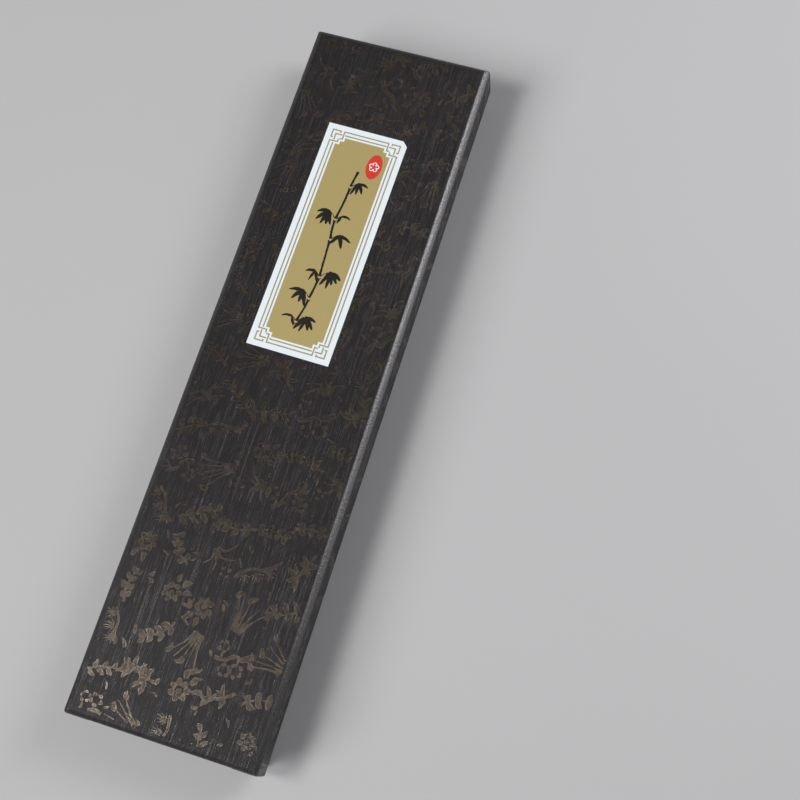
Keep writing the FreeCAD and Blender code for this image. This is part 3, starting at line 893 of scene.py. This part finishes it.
def make_bed():
    points, faces, _ = bed_surface(0.0, CLOTH_STEP, True)
    cloth = add_mesh("satin_sheet", points, faces, satin_material(), "tray", "satin")
    cloth.modifiers.new("thickness", "SOLIDIFY").thickness = CLOTH * MM
    cloth.modifiers["thickness"].offset = 1.0
    section = bed_section(0.0, 0.0)
    across = sum(math.dist(a, b) for a, b in zip(section, section[1:]))
    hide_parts("satin_cover")

    points, faces, width = bed_surface(FOAM_INSET, FOAM_STEP, False)
    count = len(points) // width
    low = foam_low.z + 0.05
    points = [(x, y, low if z <= foam_low.z + SKIRT_GAP + 0.01 else z) for x, y, z in points]
    last = len(points) - width
    rim = list(range(width)) + [r * width + width - 1 for r in range(1, count)]
    rim += list(range(last, last + width - 1))[::-1] + [r * width for r in range(count - 2, 0, -1)]
    foam = add_mesh("foam_body", points, faces + [tuple(rim)[::-1]], foam_material(), "tray", "foam")
    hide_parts("foam_pad")


# --- Brushes
def hair_reach(t):
    """Radius of the tuft over its belly's radius, from the mouth (t = 0) to the tip (t = 1)."""
    stops = ((0.0, 0.90), (0.18, 0.97), (0.32, 1.0), (0.55, 0.83), (0.78, 0.47), (0.93, 0.16), (1.0, 0.0))
    for (t0, r0), (t1, r1) in zip(stops, stops[1:]):
        if t <= t1:
            return r0 + (r1 - r0) * (t - t0) / (t1 - t0)
    return 0.0


def hair_material():
    """Weasel hair: honey brown, paler at the root, dark at the very tip, with fine strands of varied tone,
    and painted shade in the valleys between the tuft's ridges.
    """
    s = Shader("hair", Roughness=0.42, Specular_IOR_Level=0.5)
    tone = s.ramp(s.attribute("along"), (0.0, (0.66, 0.47, 0.27, 1)), (0.55, (0.56, 0.33, 0.14, 1)),
                  (0.86, (0.33, 0.16, 0.06, 1)), (1.0, (0.10, 0.045, 0.02, 1)))
    s.colour(s.mix(s.maths("MULTIPLY", s.attribute("strand"), 0.55), tone, (0.20, 0.10, 0.04, 1)))
    return s.material


HAIR_SEGMENTS = 96
HAIR_ROWS = 40
TUFT_SHARE = 0.965         # of the CAD hair's radius, without its ridges
RIDGE_HEIGHT = 0.022       # of the tuft's ridges, over its radius
ROOT_SHARE = 0.88          # of the tuft's radius, inside the ferrule
LOOSE_STRANDS = 130


def hair_tuft(brush, material, r):
    """The outer hair as a ridged form that gathers to a point, with loose strands along it."""
    low, high = box_mm(f"{brush}_hair_cover")
    ferrule_low, _ = box_mm(f"{brush}_ferrule")
    x, z = (low.x + high.x) / 2, (low.z + high.z) / 2
    belly = (high.x - low.x) / 2
    mouth, tip, root = ferrule_low.y, low.y, high.y
    points, along, strand = [], [], []
    phase = [r.uniform(0, 2 * math.pi) for _ in range(4)]

    def place(t, angle, proud):
        y = mouth + (tip - mouth) * t
        reach = belly * hair_reach(t) * (TUFT_SHARE + proud)
        return (x + reach * math.cos(angle), y, z + reach * math.sin(angle))

    def ridge(angle, t):
        twist = 0.25 * math.sin(3 * t + phase[0])
        wave = math.sin(17 * angle + phase[1] + twist) + 0.7 * math.sin(29 * angle + phase[2] - 2 * twist) \
            + 0.5 * math.sin(47 * angle + phase[3])
        return wave / 2.2

    root_share = (root - mouth) / (tip - mouth)
    for row in range(HAIR_ROWS + 1):
        t = root_share + (1 - root_share) * row / HAIR_ROWS
        for k in range(HAIR_SEGMENTS):
            angle = 2 * math.pi * k / HAIR_SEGMENTS
            height = ridge(angle, t)
            if t > 0:
                points.append(place(t, angle, RIDGE_HEIGHT * height))
            else:
                inside = ROOT_SHARE * belly
                points.append((x + inside * math.cos(angle), mouth + (tip - mouth) * t,
                               z + inside * math.sin(angle)))
            along.append(max(0.0, t))
            # Painted shade: darker in the valleys between the ridges
            strand.append(0.5 - 0.5 * height)
    faces = grid_faces(HAIR_ROWS + 1, HAIR_SEGMENTS, closed=True) + [tuple(range(HAIR_SEGMENTS))[::-1]]
    for _ in range(LOOSE_STRANDS):
        angle, start, stop = r.uniform(0, 2 * math.pi), r.uniform(0.03, 0.5), r.uniform(0.7, 0.985)
        tone, thick = r.uniform(0, 1), r.uniform(0.05, 0.085)
        base = len(points)
        for i in range(9):
            t = start + (stop - start) * i / 8
            proud = 0.028 + 0.012 * math.sin(4 * t + angle)
            centre = Vector(place(t, angle + 0.05 * math.sin(5 * t), proud))
            fine = thick * (1 - 0.75 * i / 8)
            for k in range(3):
                a = angle + 2 * math.pi * k / 3
                points.append((centre.x + fine * math.cos(a), centre.y, centre.z + fine * math.sin(a)))
                along.append(t)
                # Loose strands take a random tone
                strand.append(tone)
        faces += grid_faces(9, 3, base, closed=True)
        faces += [(base + 2, base + 1, base), (base + 24, base + 25, base + 26)]
    tuft = add_mesh(f"{brush}_hair_tuft", points, faces, material, f"{brush}_brush", "hair",
                    along=along, strand=strand)
    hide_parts(f"{brush}_hair_cover")


def rosewood_material():
    """Oiled rosewood: dark streaks and open pores along the handle."""
    s = Shader("rosewood", Specular_IOR_Level=0.5, Coat_Weight=0.25, Coat_Roughness=0.18)
    place = s.place_mm(0.05)
    streaks = s.noise(place, 0.9, 5, 0.6, 0.8)
    pores = s.ramp(s.noise(s.place_mm(0.12), 5.5, 2, 0.5), (0.55, 0.0), (0.66, 1.0))
    base = s.ramp(streaks, (0.32, (0.060, 0.014, 0.007, 1)), (0.50, (0.19, 0.050, 0.020, 1)),
                  (0.68, (0.31, 0.105, 0.042, 1)))
    s.colour(s.mix(s.maths("MULTIPLY", pores, 0.7), base, (0.03, 0.008, 0.005, 1)))
    s.roughness(s.ramp(streaks, (0.3, 0.42), (0.7, 0.30)))
    s.bump(pores, -0.00004, 0.6)
    return s.material


def horn_material():
    """Polished buffalo horn: nearly black, with brown clouds along its length."""
    s = Shader("horn", Specular_IOR_Level=0.5, Coat_Weight=0.4, Coat_Roughness=0.08)
    cloud = s.noise(s.place_mm(0.25), 0.35, 4, 0.6, 0.5)
    s.colour(s.ramp(cloud, (0.40, (0.008, 0.006, 0.005, 1)), (0.60, (0.035, 0.020, 0.012, 1)),
                    (0.75, (0.10, 0.062, 0.034, 1))))
    s.roughness(s.ramp(cloud, (0.3, 0.20), (0.7, 0.30)))
    s.bump(s.noise(s.place_mm(0.15), 3.0, 2), 0.00001, 0.4)
    return s.material


def bone_material():
    """Bone rings: ivory, with hairline grain and a little dirt in it."""
    s = Shader("bone", Specular_IOR_Level=0.5, Subsurface_Weight=0.1, Subsurface_Scale=0.001)
    grain = s.noise(s.place_mm(0.2), 3.0, 4, 0.65)
    s.colour(s.ramp(grain, (0.36, (0.52, 0.42, 0.27, 1)), (0.50, (0.78, 0.71, 0.56, 1)),
                    (0.7, (0.86, 0.81, 0.69, 1))))
    s.roughness(s.ramp(grain, (0.3, 0.45), (0.7, 0.28)))
    return s.material


def rosin_material():
    """Amber resin, cloudy and slightly uneven."""
    s = Shader("rosin", Roughness=0.25, Specular_IOR_Level=0.6)
    cloud = s.noise(s.place_mm(), 0.9, 3)
    s.colour(s.ramp(cloud, (0.35, (0.20, 0.08, 0.02, 1)), (0.65, (0.42, 0.20, 0.05, 1))))
    s.bump(cloud, 0.0001, 0.5)
    return s.material


def thread_material():
    """White silk thread with a visible twist, and painted shade in the twist's grooves."""
    s = Shader("thread", Roughness=0.6, Specular_IOR_Level=0.4)
    twist = s.wave(s.place_mm(), "DIAGONAL", 2.2, 0.5)
    # Painted shade: the colour darkens in the twist's grooves, as the bump does
    s.colour(s.mix(twist, (0.55, 0.50, 0.40, 1), (0.83, 0.79, 0.70, 1)))
    s.bump(twist, 0.00008, 0.8)
    return s.material


def clear_material():
    """Clear moulded plastic, with faint flow marks and handling scuffs."""
    s = Shader("clear_plastic", Transmission_Weight=1.0, IOR=1.46)
    s.bsdf.inputs["Base Color"].default_value = (0.96, 0.98, 0.98, 1)
    scuff = s.ramp(s.noise(s.place_mm(0.3), 1.2, 4, 0.7), (0.50, 0.03), (0.72, 0.16))
    s.roughness(scuff)
    s.bump(s.noise(s.place_mm(0.1), 0.35, 2), 0.00003, 0.3)
    return s.material


make_bed()
tuft_hair = hair_material()
for number, brush in enumerate(("large", "small")):
    hair_tuft(brush, tuft_hair, random.Random(SEED + 20 + number))

# --- Materials for the CAD nodes
lid_paper = wrapping_paper("wrapping_paper_lid", lid_high.z)
tray_paper = wrapping_paper("wrapping_paper_tray", tray_high.z)
grey_board = plain_paper("grey_board", (0.30, 0.28, 0.25, 1), (0.20, 0.19, 0.17, 1))
lining = plain_paper("lining_paper", (0.80, 0.77, 0.69, 1), (0.70, 0.66, 0.58, 1))
dark_sheet = plain_paper("plain_dark_paper", (0.020, 0.019, 0.020, 1), (0.012, 0.011, 0.012, 1))
tape = plain_paper("stay_tape", (0.52, 0.40, 0.24, 1), (0.42, 0.31, 0.18, 1))
by_slot = {"grey_board": grey_board, "lining_paper": lining, "plain_dark_paper": dark_sheet,
           "stay_tape": tape, "label_paper": white_print, "horn": horn_material(),
           "bone": bone_material(), "rosewood": rosewood_material(), "rosin": rosin_material(),
           "thread": thread_material(), "clear_plastic": clear_material(),
           "hair": plain_paper("inner_hair", (0.60, 0.42, 0.24, 1), (0.40, 0.24, 0.10, 1), 0.5)}
slots = {part["node"]: part["material_slot"] for part in frame["record"]["subparts"]}
for node, obj in frame["nodes"].items():
    material = by_slot.get(slots[node])
    if slots[node] == "wrapping_paper":
        material = lid_paper if node.startswith("lid") else tray_paper
    if material:
        obj.data.materials.clear()
        obj.data.materials.append(material)

corner_tucks("lid_tucks", lid_half, lid_low.z, lid_high.z, 0, LID_FOLD, "lid", lid_paper)
corner_tucks("tray_tucks", tray_half, tray_low.z, tray_high.z, TRAY_FOLD, 0, "tray", tray_paper)

# --- Floor, light and camera
floor_shader = Shader("floor", Roughness=0.7)
floor_cloud = floor_shader.noise(floor_shader.place(), 3.0, 3)
floor_shader.colour(floor_shader.mix(floor_cloud, (0.52, 0.52, 0.53, 1), (0.56, 0.56, 0.57, 1)))
floor_mesh = bpy.data.meshes.new("floor")
floor_mesh.from_pydata([(-5, -5, 0), (5, -5, 0), (5, 5, 0), (-5, 5, 0)], [], [(0, 1, 2, 3)])
floor_mesh.materials.append(floor_shader.material)
floor = in_scene("floor", floor_mesh)
floor.location.z = -0.00005
floor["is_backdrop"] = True


def aim(obj, direction, roll=0.0):
    """Points a light or the camera along a direction, turned by roll about it."""
    turn = direction.to_track_quat("-Z", "Y") @ Quaternion((0, 0, 1), roll)
    obj.rotation_euler = turn.to_euler()


def soft_light(name, place, target, size, power, colour=(1, 1, 1)):
    """A rectangular soft box aimed at a point."""
    data = bpy.data.lights.new(name, "AREA")
    data.shape, data.size, data.size_y = "RECTANGLE", size[0], size[1]
    data.energy, data.color = power, colour
    lamp = in_scene(name, data)
    lamp.location = place
    aim(lamp, Vector(target) - Vector(place))


soft_light("edge_box", (0.62, 0.50, 0.72), (0.04, 0.05, 0.02), (0.45, 0.5), 3.9, (0.97, 0.98, 1.0))
soft_light("near_box", (-0.43, -0.29, 1.00), (0, -0.05, 0.02), (0.28, 0.28), 4.2, (1.0, 0.99, 0.97))
fill = bpy.data.lights.new("fill", "SUN")
fill.energy, fill.angle = 1.5, math.radians(28)
aim(in_scene("fill", fill), Vector((0.95, 0.95, -1.15)))

# The room gives a dim even light, and shows as a pale wall behind the floor.
world = bpy.data.worlds.new("studio")
world.use_nodes = True
sky = world.node_tree
background = sky.nodes["Background"]
background.inputs["Color"].default_value = (0.90, 0.88, 0.885, 1)
seen = sky.nodes.new("ShaderNodeLightPath").outputs["Is Camera Ray"]
strength = sky.nodes.new("ShaderNodeMapRange")
strength.inputs["To Min"].default_value, strength.inputs["To Max"].default_value = 0.14, 0.27
sky.links.new(seen, strength.inputs["Value"])
sky.links.new(strength.outputs["Result"], background.inputs["Strength"])
scene = bpy.context.scene
scene.world = world
scene.view_settings.view_transform = "Standard"

CAMERA_PLACE = Vector((0.1340, -0.1381, 0.5477))
CAMERA_AIM = Vector((0.0504, 0.0003, 0.0295))
CAMERA_ROLL = math.radians(-14.19)
LENS, SENSOR = 56.82, 36.0
camera_data = bpy.data.cameras.new("camera")
camera_data.lens, camera_data.sensor_width = LENS, SENSOR
camera_data.clip_start = 0.02
camera = in_scene("camera", camera_data)
camera.location = CAMERA_PLACE
aim(camera, CAMERA_AIM - CAMERA_PLACE, CAMERA_ROLL)
scene.camera = camera

visual_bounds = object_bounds()
[[list(corner) for corner in box] for box in (cad_bounds, visual_bounds)]
